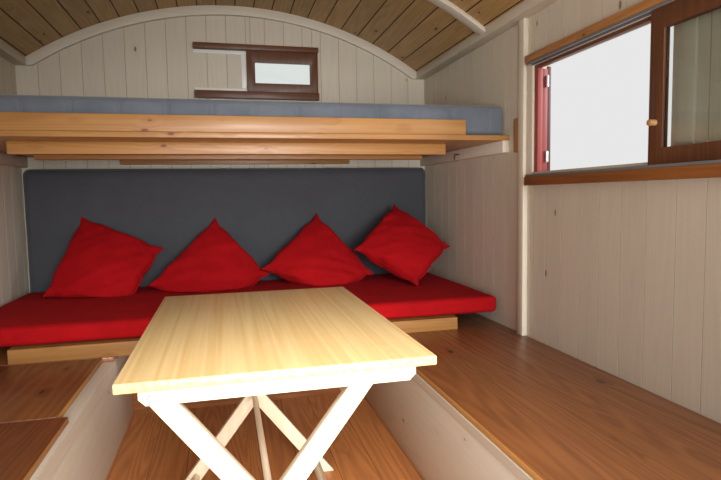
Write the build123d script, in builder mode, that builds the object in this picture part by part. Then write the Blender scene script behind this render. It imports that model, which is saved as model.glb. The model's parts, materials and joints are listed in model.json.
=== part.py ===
"""Sleeping end bay of a shepherds hut, open at the front.

X runs across the hut, Y from the open end towards the end wall, Z up from the
ground. The origin is the middle of the outline on the ground. Millimetres.
"""
import os
from math import cos, radians, sin, sqrt

from build123d import *

os.makedirs("parts", exist_ok=True)

# Room
room_width = 2050.0
room_length = 2480.0
wall_t = 50.0
floor_t = 30.0
eaves_h = 1526.0
arch_radius = 1760.0

# Bearers under the floor
bearer_w = 80.0
bearer_h = 100.0
bearer_count = 3
bearer_inset = 60.0

# Roof
roof_board_t = 24.0
roof_sheet_t = 8.0
eaves_out = 60.0
gable_out = 80.0
rib_w = 58.0
rib_depth = 18.0
rib_pitch = 700.0
rib_first = 820.0
trim_w = 46.0
trim_t = 20.0
plate_t = 52.0
plate_h = 38.0

# Wall posts
post_w = 40.0
post_t = 20.0
post_from_end = 1056.0

# Clearances
seat_gap = 0.3
panel_joint = 0.3
sash_top_gap = 1.0
move_gap = 5.0
pin_clear = 0.1

# Window in the right wall
side_open_from_end = 1138.0
side_open_len = 667.0
side_open_sill = 958.0
side_open_head = 1342.0
side_rail_from_end = 1136.0
side_rail_len = 1312.0
side_head_z = 1349.0
side_head_h = 25.0
side_sill_z = 909.0
side_sill_h = 31.0
side_sash_from_end = 1741.0
side_sash_overlap = 10.0
far_jamb_w = 41.0
near_jamb_w = 55.0
jamb_t = 8.0
rail_out = 40.0
groove_w = 22.0
groove_d = 9.0
track_set = 3.0
track_lip = 3.0
track_h = 8.0
track_groove_d = 6.0
sash_t = 20.0
side_stile = 46.0
side_sash_top_rail = 52.0
side_sash_low_rail = 42.0
glass_t = 4.0
glass_grip = 8.0
peg_r = 8.0
peg_len = 20.0
peg_drop = 84.0

# Frame inside the opening, and the shutter
casing_w = 22.0
casing_t = 20.0
casing_head_h = 10.0
reveal_t = 6.0
shutter_t = 18.0
shutter_batten_w = 80.0
shutter_batten_t = 16.0
hinge_len = 40.0
hinge_r = 6.0
hinge_inset = 56.0
batten_inset = 40.0

# Window in the end wall
end_rail_left = 213.0
end_rail_right = 421.0
end_head_z = 1635.0
end_head_h = 27.0
end_sill_z = 1391.0
end_sill_h = 36.0
end_sash_left = 49.0
end_sash_right = 418.0
end_stile = 42.0
end_sash_top_rail = 58.0
end_sash_low_rail = 44.0
end_open_inset = 24.0
end_track_h = 18.0
end_jamb_w = 27.0

# Bunk
bunk_depth = 957.0
bunk_deck_z = 1092.0
bunk_deck_t = 20.0
guard_h = 58.0
guard_t = 22.0
guard_len = 1676.0
ledger_h = 48.0
ledger_t = 30.0
beam_h = 45.0
beam_t = 45.0
beam_len = 1627.0
beam_from_front = [147.0, 427.0]
cleat_len = 1160.0
cleat_h = 36.0
cleat_t = 30.0
stop_w = 48.0
stop_t = 12.0
stop_low = 52.0
stop_high = 76.0
mattress_side_gap = 4.0
mattress_depth = 900.0
mattress_t = 125.0
mattress_round = 25.0
hook_from_front = 420.0
hook_wire_r = 2.5
hook_reach = 24.0
hook_drop = 26.0

# Side benches
aisle_width = 968.0
bench_h = 334.0
bench_top_t = 18.0
bench_front_t = 18.0
bench_rail_w = 70.0
bench_rail_t = 20.0
back_rail_w = 40.0
ledge_h = 40.0
ledge_t = 30.0
lid_joint_from_end = 1468.0
far_lid_setback = 36.0
near_lid_setback = 9.0
lid_hinge_r = 6.0
lid_hinge_len = 70.0
lid_hinge_inset = 90.0
cross_bearer_w = 60.0

# Seat across the end
seat_depth = 923.0
seat_deck_h = 384.0
seat_deck_t = 18.0
fascia_t = 22.0
fascia_len = 1630.0
seat_panel_set = 320.0
seat_panel_t = 18.0
pad_t = 78.0
pad_side_gap = 20.0
pad_front_gap = 8.0
pad_round = 26.0
backrest_t = 100.0
backrest_h = 648.0
backrest_side_gap = 30.0
backrest_round = 28.0

# Loose square cushions, thrown against the backrest on one corner
cushion_side = 400.0
cushion_t = 128.0
cushion_edge_t = 14.0
cushion_leans = [40.0, 37.0, 49.0, 46.0]
cushion_turns = [18.0, 31.0, 46.0, 44.0]
cushion_sinks = [66.0, 80.0, 38.0, 32.0]
cushion_shares = [-0.634, -0.16, 0.402, 0.768]
cushion_forwards = [0.0, 0.0, 0.0, 118.0]

# Folding table
table_w = 566.0
table_len = 841.0
table_h = 580.0
table_t = 18.0
table_from_end = 1185.0
table_pivot_x = -20.0
table_top_shift = 25.0
table_batten_len = 494.0
table_batten_h = 30.0
table_batten_t = 20.0
table_near_set = 18.0
table_far_set = 55.0
table_batten_chamfer = 12.0
leg_w = 38.0
leg_t = 20.0
leg_layer_gap = 5.0
leg_angle = 37.7
pivot_h = 285.0
pivot_r = 8.0
leg_rail_w = 26.0
leg_rail_t = 18.0
leg_rail_in = 62.0
bolt_r = 4.0
bolt_head_r = 8.0
bolt_head_t = 4.0
bolt_plate_w = 20.0
bolt_plate_h = 20.0
bolt_plate_t = 2.0

# Derived places
half_w = room_width / 2
out_x = half_w + wall_t
total_len = room_length + wall_t + gable_out
front_y = -total_len / 2
end_y = front_y + room_length
back_y = end_y + wall_t
roof_back_y = back_y + gable_out
roof_mid_y = (front_y + roof_back_y) / 2
floor_z = bearer_h + floor_t
arch_z = floor_z + eaves_h - sqrt(arch_radius**2 - half_w**2)
roof_half = out_x + eaves_out
roof_top_r = arch_radius + roof_board_t + roof_sheet_t


def arch_height(x, radius):
    """Height of a roof arc of this radius above the ground at x."""
    return arch_z + sqrt(radius**2 - x**2)


def block(x0, x1, y0, y1, z0, z1, mode=Mode.ADD):
    """Add or cut a rectangular piece between the given planes."""
    with Locations(((x0 + x1) / 2, (y0 + y1) / 2, (z0 + z1) / 2)):
        Box(x1 - x0, y1 - y0, z1 - z0, mode=mode)


def roof_round(radius, mode):
    """Add, cut or intersect with a cylinder about the roof's axis."""
    with Locations((0, roof_mid_y, arch_z)):
        Cylinder(radius, 2 * total_len, rotation=(90, 0, 0), mode=mode)


def keep(node, label):
    """Name a finished piece and write its file."""
    node.part.label = label
    export_step(node.part, "parts/" + label + ".step")


# Floor
bearer_span = out_x - bearer_inset - bearer_w / 2
bearer_step = 2 * bearer_span / (bearer_count - 1)
with BuildPart() as floor_bearers:
    for index in range(bearer_count):
        mid = -bearer_span + index * bearer_step
        block(mid - bearer_w / 2, mid + bearer_w / 2, front_y, back_y, 0, bearer_h)
keep(floor_bearers, "floor_bearers")

with BuildPart() as floor_deck:
    block(-out_x, out_x, front_y, back_y, bearer_h, floor_z)
keep(floor_deck, "floor_deck")

# Walls
wall_top = arch_height(half_w, arch_radius)
side_open_y1 = end_y - side_open_from_end
side_open_y0 = side_open_y1 - side_open_len
side_open_z0 = floor_z + side_open_sill
side_open_z1 = floor_z + side_open_head

with BuildPart() as left_wall:
    block(-out_x, -half_w, front_y, back_y, floor_z, wall_top)
    roof_round(arch_radius, Mode.INTERSECT)
keep(left_wall, "left_wall")

# Window walls are four panels round the opening
with BuildPart() as right_wall:
    block(half_w, out_x, front_y, back_y, floor_z, side_open_z0 - panel_joint)
    block(half_w, out_x, front_y, side_open_y0, side_open_z0, side_open_z1)
    block(half_w, out_x, side_open_y1, back_y, side_open_z0, side_open_z1)
    block(half_w, out_x, front_y, back_y, side_open_z1 + panel_joint, wall_top)
    roof_round(arch_radius, Mode.INTERSECT)
keep(right_wall, "right_wall")

end_open_x0 = end_sash_left + end_open_inset
end_open_x1 = end_sash_right - end_open_inset
end_open_z0 = floor_z + end_sill_z + end_sill_h + end_open_inset
end_open_z1 = floor_z + end_head_z - end_open_inset
with BuildPart() as end_wall:
    block(-half_w, half_w, end_y, back_y, floor_z, end_open_z0 - panel_joint)
    block(-half_w, end_open_x0, end_y, back_y, end_open_z0, end_open_z1)
    block(end_open_x1, half_w, end_y, back_y, end_open_z0, end_open_z1)
    block(-half_w, half_w, end_y, back_y, end_open_z1 + panel_joint, arch_z + arch_radius)
    roof_round(arch_radius, Mode.INTERSECT)
keep(end_wall, "end_wall")

# Barrel roof
eaves_low = arch_height(roof_half, arch_radius)
with BuildPart() as roof_boards:
    block(-roof_half, roof_half, front_y, roof_back_y, eaves_low, arch_z + roof_top_r)
    roof_round(arch_radius + roof_board_t, Mode.INTERSECT)
    roof_round(arch_radius, Mode.SUBTRACT)
keep(roof_boards, "roof_boards")

with BuildPart() as roof_covering:
    block(-roof_half, roof_half, front_y, roof_back_y, eaves_low, arch_z + roof_top_r)
    roof_round(roof_top_r, Mode.INTERSECT)
    roof_round(arch_radius + roof_board_t, Mode.SUBTRACT)
keep(roof_covering, "roof_covering")

# Wall plates fill the corner between wall and ceiling
plate_x = half_w - plate_t
plate_z1 = arch_height(plate_x, arch_radius)
plate_z0 = plate_z1 - plate_h
with BuildPart() as wall_plates:
    block(-half_w, -plate_x, front_y, end_y, plate_z0, plate_z1)
    block(plate_x, half_w, front_y, end_y, plate_z0, plate_z1)
    roof_round(arch_radius, Mode.INTERSECT)
keep(wall_plates, "wall_plates")

# Arched ribs between the plates
rib_count = int((room_length - rib_first) // rib_pitch) + 1
with BuildPart() as roof_ribs:
    for index in range(rib_count):
        mid = end_y - rib_first - index * rib_pitch
        block(-plate_x, plate_x, mid - rib_w / 2, mid + rib_w / 2, plate_z0, arch_z + arch_radius)
    roof_round(arch_radius, Mode.INTERSECT)
    roof_round(arch_radius - rib_depth, Mode.SUBTRACT)
keep(roof_ribs, "roof_ribs")

with BuildPart() as end_arch:
    block(-plate_x, plate_x, end_y - trim_t, end_y, plate_z0, arch_z + arch_radius)
    roof_round(arch_radius, Mode.INTERSECT)
    roof_round(arch_radius - trim_w, Mode.SUBTRACT)
keep(end_arch, "end_arch")

# Wall posts stop at the benches below and the plates above
post_y1 = end_y - post_from_end
bench_z = floor_z + bench_h
with BuildPart() as wall_posts:
    block(-half_w, -half_w + post_t, post_y1 - post_w, post_y1, bench_z, plate_z0)
    block(half_w - post_t, half_w, post_y1 - post_w, post_y1, bench_z, plate_z0)
keep(wall_posts, "wall_posts")

# Sliding window in the right wall: grooved head and sill rails on the wall
rail_y1 = end_y - side_rail_from_end
rail_y0 = rail_y1 - side_rail_len
rail_x = half_w - rail_out
track_x0 = rail_x + track_set
groove_x0 = track_x0 + track_lip
groove_x1 = groove_x0 + groove_w
track_x1 = groove_x1 + track_lip
head_z0 = floor_z + side_head_z
head_z1 = head_z0 + side_head_h
sill_z0 = floor_z + side_sill_z
sill_z1 = sill_z0 + side_sill_h

with BuildPart() as side_window_head:
    block(rail_x, half_w, rail_y0, rail_y1, head_z0, head_z1)
keep(side_window_head, "side_window_head")

with BuildPart() as side_window_sill:
    block(rail_x, half_w, rail_y0, rail_y1, sill_z0, sill_z1)
keep(side_window_sill, "side_window_sill")

# Grooved tracks on the facing sides of the two rails
track_z1 = sill_z1 + track_h
track_z0 = head_z0 - track_h
track_y0 = rail_y0 + track_set
track_y1 = rail_y1 - track_set
with BuildPart() as side_window_tracks:
    block(track_x0, track_x1, track_y0, track_y1, sill_z1, track_z1)
    block(track_x0, track_x1, track_y0, track_y1, track_z0, head_z0)
    block(groove_x0, groove_x1, rail_y0, rail_y1, track_z1 - track_groove_d, track_z0 + track_groove_d, Mode.SUBTRACT)
keep(side_window_tracks, "side_window_tracks")

# Lining boards on the wall round the opening, behind the sash
jamb_x = half_w - jamb_t
with BuildPart() as side_lining:
    block(jamb_x, half_w, side_open_y1, side_open_y1 + far_jamb_w, sill_z1, head_z0)
    block(jamb_x, half_w, side_open_y0 - near_jamb_w, side_open_y0, sill_z1, head_z0)
    strip_y0 = side_open_y0 + panel_joint
    strip_y1 = side_open_y1 - panel_joint
    block(jamb_x, half_w, strip_y0, strip_y1, sill_z1, side_open_z0)
    block(jamb_x, half_w, strip_y0, strip_y1, side_open_z1, head_z0)
keep(side_lining, "side_lining")

# Sash, slid open; its edges stand in both grooves
sash_y1 = end_y - side_sash_from_end
sash_len = side_open_len + 2 * side_sash_overlap
sash_y0 = sash_y1 - sash_len
sash_x0 = (groove_x0 + groove_x1 - sash_t) / 2
sash_x1 = sash_x0 + sash_t
sash_z0 = track_z1 - track_groove_d + seat_gap
sash_z1 = track_z0 + track_groove_d - sash_top_gap
glass_y0 = sash_y0 + side_stile
glass_y1 = sash_y1 - side_stile
glass_z0 = sash_z0 + side_sash_low_rail + track_groove_d
glass_z1 = sash_z1 - side_sash_top_rail - track_groove_d
glass_x = (sash_x0 + sash_x1) / 2
with BuildPart() as side_sash:
    block(sash_x0, sash_x1, sash_y0, sash_y1, sash_z0, sash_z1)
    block(sash_x0, sash_x1, glass_y0, glass_y1, glass_z0, glass_z1, Mode.SUBTRACT)
    block(
        glass_x - glass_t / 2,
        glass_x + glass_t / 2,
        glass_y0 - glass_grip,
        glass_y1 + glass_grip,
        glass_z0 - glass_grip,
        glass_z1 + glass_grip,
        Mode.SUBTRACT,
    )
    with Locations((sash_x0 - peg_len / 2, sash_y1 - side_stile / 2, (glass_z0 + glass_z1) / 2 - peg_drop)):
        Cylinder(peg_r, peg_len, rotation=(0, 90, 0))
keep(side_sash, "side_sash")

with BuildPart() as side_sash_glass:
    block(
        glass_x - glass_t / 2,
        glass_x + glass_t / 2,
        glass_y0 - glass_grip,
        glass_y1 + glass_grip,
        glass_z0 - glass_grip,
        glass_z1 + glass_grip,
    )
keep(side_sash_glass, "side_sash_glass")

# Frame set in the opening: two stiles, their outer lining boards and the head
case_x1 = half_w + casing_t
reveal_x0 = case_x1 + panel_joint
stile_z1 = side_open_z1 - casing_head_h - panel_joint
with BuildPart() as side_casing:
    block(half_w, case_x1, side_open_y0, side_open_y0 + casing_w, side_open_z0, stile_z1)
    block(half_w, case_x1, side_open_y1 - casing_w, side_open_y1, side_open_z0, stile_z1)
    block(reveal_x0, out_x, side_open_y0, side_open_y0 + reveal_t, side_open_z0, stile_z1)
    block(reveal_x0, out_x, side_open_y1 - reveal_t, side_open_y1, side_open_z0, stile_z1)
    block(half_w, case_x1, side_open_y0, side_open_y1, side_open_z1 - casing_head_h, side_open_z1)
keep(side_casing, "side_casing")

# Shutter, folded back on its hinges against the outer face of the wall
shutter_y1 = min(side_open_y1 + side_open_len, back_y)
shutter_x = out_x + shutter_t
with BuildPart() as side_shutter:
    block(out_x, shutter_x, side_open_y1, shutter_y1, side_open_z0, side_open_z1)
    for low in (side_open_z0 + batten_inset, side_open_z1 - batten_inset - shutter_batten_w):
        block(
            shutter_x,
            shutter_x + shutter_batten_t,
            side_open_y1 + batten_inset,
            shutter_y1 - batten_inset,
            low,
            low + shutter_batten_w,
        )
keep(side_shutter, "side_shutter")

with BuildPart() as side_shutter_hinges:
    for mid in (side_open_z0 + hinge_inset, side_open_z1 - hinge_inset):
        with Locations((out_x - hinge_r - seat_gap, side_open_y1 - reveal_t - hinge_r - seat_gap, mid)):
            Cylinder(hinge_r, hinge_len)
keep(side_shutter_hinges, "side_shutter_hinges")

# Small sliding window in the end wall
end_rail_y = end_y - rail_out
end_groove_y0 = end_y - (rail_out + groove_w) / 2
end_groove_y1 = end_groove_y0 + groove_w
end_head_z0 = floor_z + end_head_z
end_head_z1 = end_head_z0 + end_head_h
end_sill_z0 = floor_z + end_sill_z
end_sill_z1 = end_sill_z0 + end_sill_h

with BuildPart() as end_window_head:
    block(-end_rail_left, end_rail_right, end_rail_y, end_y, end_head_z0, end_head_z1)
    block(
        -end_rail_left,
        end_rail_right,
        end_groove_y0,
        end_groove_y1,
        end_head_z0,
        end_head_z0 + groove_d,
        Mode.SUBTRACT,
    )
keep(end_window_head, "end_window_head")

with BuildPart() as end_window_sill:
    block(-end_rail_left, end_rail_right, end_rail_y, end_y, end_sill_z0, end_sill_z1)
    block(
        -end_rail_left,
        end_rail_right,
        end_groove_y0,
        end_groove_y1,
        end_sill_z1 - groove_d,
        end_sill_z1,
        Mode.SUBTRACT,
    )
keep(end_window_sill, "end_window_sill")

# Lining strips between the end wall's rails
jamb_y = end_y - jamb_t
strip_z0 = end_sill_z1 + end_track_h
strip_z1 = end_head_z0 - end_track_h
with BuildPart() as end_lining:
    block(-end_rail_left, end_rail_right, jamb_y, end_y, end_sill_z1, strip_z0)
    block(-end_rail_left, end_rail_right, jamb_y, end_y, strip_z1, end_head_z0)
    block(
        end_sash_left - end_jamb_w,
        end_sash_left,
        jamb_y,
        end_y,
        strip_z0 + panel_joint,
        strip_z1 - panel_joint,
    )
keep(end_lining, "end_lining")

end_sash_y0 = (end_groove_y0 + end_groove_y1 - sash_t) / 2
end_sash_y1 = end_sash_y0 + sash_t
end_sash_z0 = end_sill_z1 - groove_d + seat_gap
end_sash_z1 = end_head_z0 + groove_d - sash_top_gap
end_glass_x0 = end_sash_left + end_stile
end_glass_x1 = end_sash_right - end_stile
end_glass_z0 = end_sash_z0 + end_sash_low_rail + groove_d
end_glass_z1 = end_sash_z1 - end_sash_top_rail - groove_d
end_glass_y = (end_sash_y0 + end_sash_y1) / 2
with BuildPart() as end_sash:
    block(end_sash_left, end_sash_right, end_sash_y0, end_sash_y1, end_sash_z0, end_sash_z1)
    block(
        end_glass_x0,
        end_glass_x1,
        end_sash_y0,
        end_sash_y1,
        end_glass_z0,
        end_glass_z1,
        Mode.SUBTRACT,
    )
    block(
        end_glass_x0 - glass_grip,
        end_glass_x1 + glass_grip,
        end_glass_y - glass_t / 2,
        end_glass_y + glass_t / 2,
        end_glass_z0 - glass_grip,
        end_glass_z1 + glass_grip,
        Mode.SUBTRACT,
    )
keep(end_sash, "end_sash")

with BuildPart() as end_sash_glass:
    block(
        end_glass_x0 - glass_grip,
        end_glass_x1 + glass_grip,
        end_glass_y - glass_t / 2,
        end_glass_y + glass_t / 2,
        end_glass_z0 - glass_grip,
        end_glass_z1 + glass_grip,
    )
keep(end_sash_glass, "end_sash_glass")

# Bunk
deck_y = end_y - bunk_depth
deck_z0 = floor_z + bunk_deck_z
deck_z1 = deck_z0 + bunk_deck_t
with BuildPart() as bunk_deck:
    block(-half_w, half_w, deck_y, end_y, deck_z0, deck_z1)
keep(bunk_deck, "bunk_deck")

with BuildPart() as bunk_guard:
    block(-guard_len / 2, guard_len / 2, deck_y, deck_y + guard_t, deck_z1, deck_z1 + guard_h)
keep(bunk_guard, "bunk_guard")

with BuildPart() as bunk_ledgers:
    block(-half_w, -half_w + ledger_t, deck_y, end_y, deck_z0 - ledger_h, deck_z0)
    block(half_w - ledger_t, half_w, deck_y, end_y, deck_z0 - ledger_h, deck_z0)
keep(bunk_ledgers, "bunk_ledgers")

with BuildPart() as bunk_beams:
    for place in beam_from_front:
        beam_y = deck_y + place
        block(-beam_len / 2, beam_len / 2, beam_y, beam_y + beam_t, deck_z0 - beam_h, deck_z0)
    block(-cleat_len / 2, cleat_len / 2, end_y - cleat_t, end_y, deck_z0 - cleat_h, deck_z0)
keep(bunk_beams, "bunk_beams")

with BuildPart() as bunk_stop:
    block(
        half_w - stop_t,
        half_w,
        post_y1 + panel_joint,
        post_y1 + panel_joint + stop_w,
        deck_z0 - stop_low,
        deck_z0 + stop_high,
    )
keep(bunk_stop, "bunk_stop")

# Wire hook under the bunk at the right ledger
hook_x = half_w - ledger_t
hook_y = deck_y + hook_from_front
hook_z = deck_z0 - ledger_h / 2
with BuildPart() as bunk_hook:
    with BuildLine() as hook_path:
        Polyline(
            (hook_x, hook_y, hook_z),
            (hook_x - hook_reach, hook_y, hook_z),
            (hook_x - hook_reach, hook_y, hook_z - hook_drop),
        )
    with BuildSketch(Plane(origin=(hook_x, hook_y, hook_z), z_dir=(-1, 0, 0))):
        Circle(hook_wire_r)
    sweep(transition=Transition.RIGHT)
keep(bunk_hook, "bunk_hook")

mattress_len = room_width - 2 * mattress_side_gap
mattress_y0 = deck_y + guard_t + seat_gap
mattress_z0 = deck_z1 + seat_gap
with BuildPart() as bunk_mattress:
    with BuildSketch(Plane.XY.offset(mattress_z0)):
        with Locations((0, mattress_y0 + mattress_depth / 2)):
            RectangleRounded(mattress_len, mattress_depth, mattress_round)
    extrude(amount=mattress_t)
keep(bunk_mattress, "bunk_mattress")

# Side benches
aisle = aisle_width / 2
rail_top_z = bench_z - bench_top_t
seat_y = end_y - seat_depth

with BuildPart() as right_bench_front:
    block(aisle, aisle + bench_front_t, front_y, end_y, floor_z, rail_top_z)
    block(aisle, aisle + bench_rail_w, front_y, end_y, rail_top_z - bench_rail_t, rail_top_z)
    block(half_w - ledge_t, half_w, front_y, end_y, rail_top_z - ledge_h, rail_top_z)
keep(right_bench_front, "right_bench_front")

with BuildPart() as right_bench_top:
    block(aisle, half_w, front_y, end_y, rail_top_z, bench_z)
keep(right_bench_top, "right_bench_top")

lid_joint_y = end_y - lid_joint_from_end
with BuildPart() as left_bench_front:
    block(-aisle - bench_front_t, -aisle, front_y, end_y, floor_z, rail_top_z)
    block(-aisle - bench_rail_w, -aisle, front_y, end_y, rail_top_z - bench_rail_t, rail_top_z)
    block(-half_w, -half_w + ledge_t, front_y, end_y, rail_top_z - ledge_h, rail_top_z)
    block(
        -half_w + ledge_t,
        -aisle - bench_rail_w,
        lid_joint_y - cross_bearer_w / 2,
        lid_joint_y + cross_bearer_w / 2,
        rail_top_z - bench_rail_t,
        rail_top_z,
    )
keep(left_bench_front, "left_bench_front")

# Fixed boards of the left bench: hinge rail at the wall and the end under the seat
back_rail_x = -half_w + back_rail_w
far_lid_y1 = seat_y - move_gap
with BuildPart() as left_bench_top:
    block(-half_w, back_rail_x, front_y, seat_y, rail_top_z, bench_z)
    block(-half_w, -aisle, seat_y, end_y, rail_top_z, bench_z)
keep(left_bench_top, "left_bench_top")

# Two lids, hinged on barrels along the rail at the wall
lid_axis_x = back_rail_x + lid_hinge_r + seat_gap
lid_back_x = lid_axis_x + lid_hinge_r + seat_gap
lid_z0 = rail_top_z + seat_gap
far_lid_y0 = lid_joint_y + move_gap / 2
near_lid_y1 = lid_joint_y - move_gap / 2
near_lid_y0 = front_y + move_gap
with BuildPart() as left_lid_far:
    block(lid_back_x, -aisle - far_lid_setback, far_lid_y0, far_lid_y1, lid_z0, bench_z)
keep(left_lid_far, "left_lid_far")

with BuildPart() as left_lid_near:
    block(lid_back_x, -aisle - near_lid_setback, near_lid_y0, near_lid_y1, lid_z0, bench_z)
keep(left_lid_near, "left_lid_near")

with BuildPart() as far_lid_hinges:
    for mid in (far_lid_y0 + lid_hinge_inset, far_lid_y1 - lid_hinge_inset):
        with Locations((lid_axis_x, mid, bench_z)):
            Cylinder(lid_hinge_r, lid_hinge_len, rotation=(90, 0, 0))
keep(far_lid_hinges, "far_lid_hinges")

with BuildPart() as near_lid_hinges:
    for mid in (near_lid_y0 + lid_hinge_inset, near_lid_y1 - lid_hinge_inset):
        with Locations((lid_axis_x, mid, bench_z)):
            Cylinder(lid_hinge_r, lid_hinge_len, rotation=(90, 0, 0))
keep(near_lid_hinges, "near_lid_hinges")

# Seat across the end of the room
seat_z = floor_z + seat_deck_h
panel_y = seat_y + seat_panel_set
with BuildPart() as seat_fascia:
    block(-fascia_len / 2, fascia_len / 2, seat_y, seat_y + fascia_t, bench_z, seat_z)
keep(seat_fascia, "seat_fascia")

with BuildPart() as seat_deck:
    block(
        -fascia_len / 2,
        fascia_len / 2,
        seat_y + fascia_t,
        end_y,
        seat_z - seat_deck_t,
        seat_z,
    )
    for side in (-1, 1):
        runner_mid = side * (fascia_len / 2 - fascia_t / 2)
        block(
            runner_mid - fascia_t / 2,
            runner_mid + fascia_t / 2,
            seat_y + fascia_t,
            end_y,
            bench_z,
            seat_z - seat_deck_t,
        )
keep(seat_deck, "seat_deck")

with BuildPart() as seat_front_panel:
    block(-aisle, aisle, panel_y, panel_y + seat_panel_t, floor_z, seat_z - seat_deck_t)
keep(seat_front_panel, "seat_front_panel")

pad_y0 = seat_y + pad_front_gap
pad_y1 = end_y - backrest_t - 2 * seat_gap
pad_half = half_w - pad_side_gap
with BuildPart() as seat_pad:
    with BuildSketch(Plane.XY.offset(seat_z + seat_gap)):
        with Locations((0, (pad_y0 + pad_y1) / 2)):
            RectangleRounded(2 * pad_half, pad_y1 - pad_y0, pad_round)
    extrude(amount=pad_t)
keep(seat_pad, "seat_pad")

backrest_len = room_width - 2 * backrest_side_gap
with BuildPart() as backrest_pad:
    with BuildSketch(Plane.XZ.offset(-(end_y - seat_gap))):
        with Locations((0, seat_z + seat_gap + backrest_h / 2)):
            RectangleRounded(backrest_len, backrest_h, backrest_round)
    extrude(amount=backrest_t)
keep(backrest_pad, "backrest_pad")

# Square cushions: a square cut from the lens between two large balls, sunk
# on its lower corner and flat where it rests on the pad, the backrest or the wall
cushion_bulge = (cushion_t - cushion_edge_t) / 2
cushion_ball = (cushion_side**2 / 2 + cushion_bulge**2) / (2 * cushion_bulge)
cushion_rows = zip(cushion_shares, cushion_turns, cushion_leans, cushion_sinks, cushion_forwards)
rest_z = seat_z + pad_t + 2 * seat_gap
rest_y = pad_y1 - seat_gap
for index, (share, turn, tilt, sink, forward) in enumerate(cushion_rows, start=1):
    cushion_x = share * pad_half
    cushion_reach = cushion_side / 2 * (cos(radians(turn)) + sin(radians(turn)))
    cushion_z = rest_z + cushion_reach * cos(radians(tilt)) - sink
    cushion_y = rest_y - cushion_reach * sin(radians(tilt)) - forward
    with BuildPart() as cushion:
        with Locations(Location((cushion_x, cushion_y, cushion_z), (-tilt, 0, 0))):
            with Locations((0, cushion_ball - cushion_t / 2, 0)):
                Sphere(cushion_ball)
            with Locations((0, cushion_t / 2 - cushion_ball, 0)):
                Sphere(cushion_ball, mode=Mode.INTERSECT)
            Box(cushion_side, cushion_t, cushion_side, rotation=(0, turn, 0), mode=Mode.INTERSECT)
        block(seat_gap - half_w, half_w - seat_gap, front_y, rest_y, rest_z, rest_z + backrest_h, Mode.INTERSECT)
    keep(cushion, "cushion_" + str(index))

# Folding table: top, battens and two crossed leg frames on one pivot bar
table_y1 = end_y - table_from_end
table_y0 = table_y1 - table_len
near_face_y = table_y0 + table_near_set
far_face_y = table_y1 - table_far_set
frame_y = (near_face_y + far_face_y) / 2
top_x = table_pivot_x + table_top_shift
top_z1 = floor_z + table_h
top_z0 = top_z1 - table_t
leg_r = leg_w / 2
tip_z = top_z0 - leg_r - seat_gap
pivot_z = floor_z + pivot_h
lean = radians(leg_angle)
tip_out = (tip_z - pivot_z) * sin(lean) / cos(lean)
bolt_x = table_pivot_x - tip_out
inner_tip_x = table_pivot_x + tip_out

batten_out = (far_face_y - near_face_y) / 2
outer_out = batten_out - table_batten_t - leg_layer_gap
inner_out = outer_out - leg_t - leg_layer_gap

with BuildPart() as table_top:
    block(top_x - table_w / 2, top_x + table_w / 2, table_y0, table_y1, top_z0, top_z1)
keep(table_top, "table_top")


def batten_outline():
    """Batten seen from the front: square top, lower corners cut off."""
    left = top_x - table_batten_len / 2
    right = top_x + table_batten_len / 2
    low = top_z0 - table_batten_h
    return [
        (left, top_z0),
        (right, top_z0),
        (right, low + table_batten_chamfer),
        (right - table_batten_chamfer, low),
        (left + table_batten_chamfer, low),
        (left, low + table_batten_chamfer),
    ]


with BuildPart() as table_battens:
    for side in (-1, 1):
        face = frame_y + side * (batten_out - table_batten_t / 2) + table_batten_t / 2
        with BuildSketch(Plane.XZ.offset(-face)):
            Polygon(*batten_outline(), align=None)
        extrude(amount=table_batten_t)
    with Locations((bolt_x, frame_y, tip_z)):
        Cylinder(bolt_r + pin_clear, table_len, rotation=(90, 0, 0), mode=Mode.SUBTRACT)
keep(table_battens, "table_battens")


def tip_angle(hand):
    """Turn about Y that lays a downward bar from this side's tip to the far foot."""
    return hand * leg_angle


with BuildPart() as table_outer_legs:
    for side in (-1, 1):
        mid = frame_y + side * (outer_out - leg_t / 2)
        with Locations((bolt_x, mid, tip_z)):
            Cylinder(leg_r, leg_t, rotation=(90, 0, 0))
        with Locations(Location((bolt_x, mid, tip_z), (0, tip_angle(-1), 0))):
            with Locations((0, 0, -(tip_z - floor_z) / cos(lean) / 2 - leg_w / 2)):
                Box(leg_w, leg_t, (tip_z - floor_z) / cos(lean) + leg_w)
        with Locations((bolt_x, mid, tip_z)):
            Cylinder(bolt_r + pin_clear, 2 * leg_t, rotation=(90, 0, 0), mode=Mode.SUBTRACT)
    block(-room_width, room_width, front_y, end_y, 0, floor_z + seat_gap, Mode.SUBTRACT)
keep(table_outer_legs, "table_outer_legs")

with BuildPart() as table_inner_legs:
    for side in (-1, 1):
        mid = frame_y + side * (inner_out - leg_t / 2)
        with Locations((inner_tip_x, mid, tip_z)):
            Cylinder(leg_r, leg_t, rotation=(90, 0, 0))
        with Locations(Location((inner_tip_x, mid, tip_z), (0, tip_angle(1), 0))):
            with Locations((0, 0, -(tip_z - floor_z) / cos(lean) / 2 - leg_w / 2)):
                Box(leg_w, leg_t, (tip_z - floor_z) / cos(lean) + leg_w)
        with Locations((table_pivot_x, mid, pivot_z)):
            Cylinder(pivot_r + pin_clear, 2 * leg_t, rotation=(90, 0, 0), mode=Mode.SUBTRACT)
    block(-room_width, room_width, front_y, end_y, 0, floor_z + seat_gap, Mode.SUBTRACT)
keep(table_inner_legs, "table_inner_legs")

bar_half = outer_out - leg_t
with BuildPart() as table_pivot_bar:
    with Locations((table_pivot_x, frame_y, pivot_z)):
        Cylinder(pivot_r, 2 * bar_half, rotation=(90, 0, 0))
keep(table_pivot_bar, "table_pivot_bar")


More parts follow.
